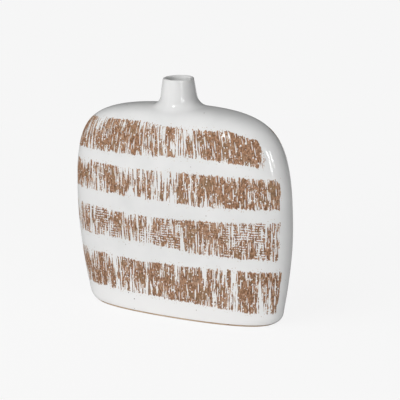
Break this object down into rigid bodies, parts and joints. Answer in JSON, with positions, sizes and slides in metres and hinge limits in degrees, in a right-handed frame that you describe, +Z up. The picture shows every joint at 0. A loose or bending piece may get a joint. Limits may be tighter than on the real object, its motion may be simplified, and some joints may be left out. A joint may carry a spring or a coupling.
{
  "type": "pillow vase",
  "caption": "Wide, shallow stoneware vase with rounded shoulders, a short flared neck and brushed brown bands across its faces.",
  "frame": {"origin": "centre of the foot, on the table", "axes": "+Z up along the neck, +X along the wide face, front face towards -Y"},
  "size_m": [0.31, 0.08, 0.3],
  "materials": {
    "white_glaze": "satin white glaze over stoneware",
    "brown_slip": "dry brushed brown slip, matte, broken by the glaze",
    "bare_clay": "unglazed tan clay"
  },
  "bodies": {
    "root": {"front_shell": "white_glaze", "back_shell": "white_glaze", "neck_collar": "white_glaze", "base_slab": "bare_clay", "front_band_1": "brown_slip", "front_band_2": "brown_slip", "front_band_3": "brown_slip", "front_band_4": "brown_slip", "back_band_1": "brown_slip", "back_band_2": "brown_slip", "back_band_3": "brown_slip", "back_band_4": "brown_slip"}
  },
  "joints": []
}
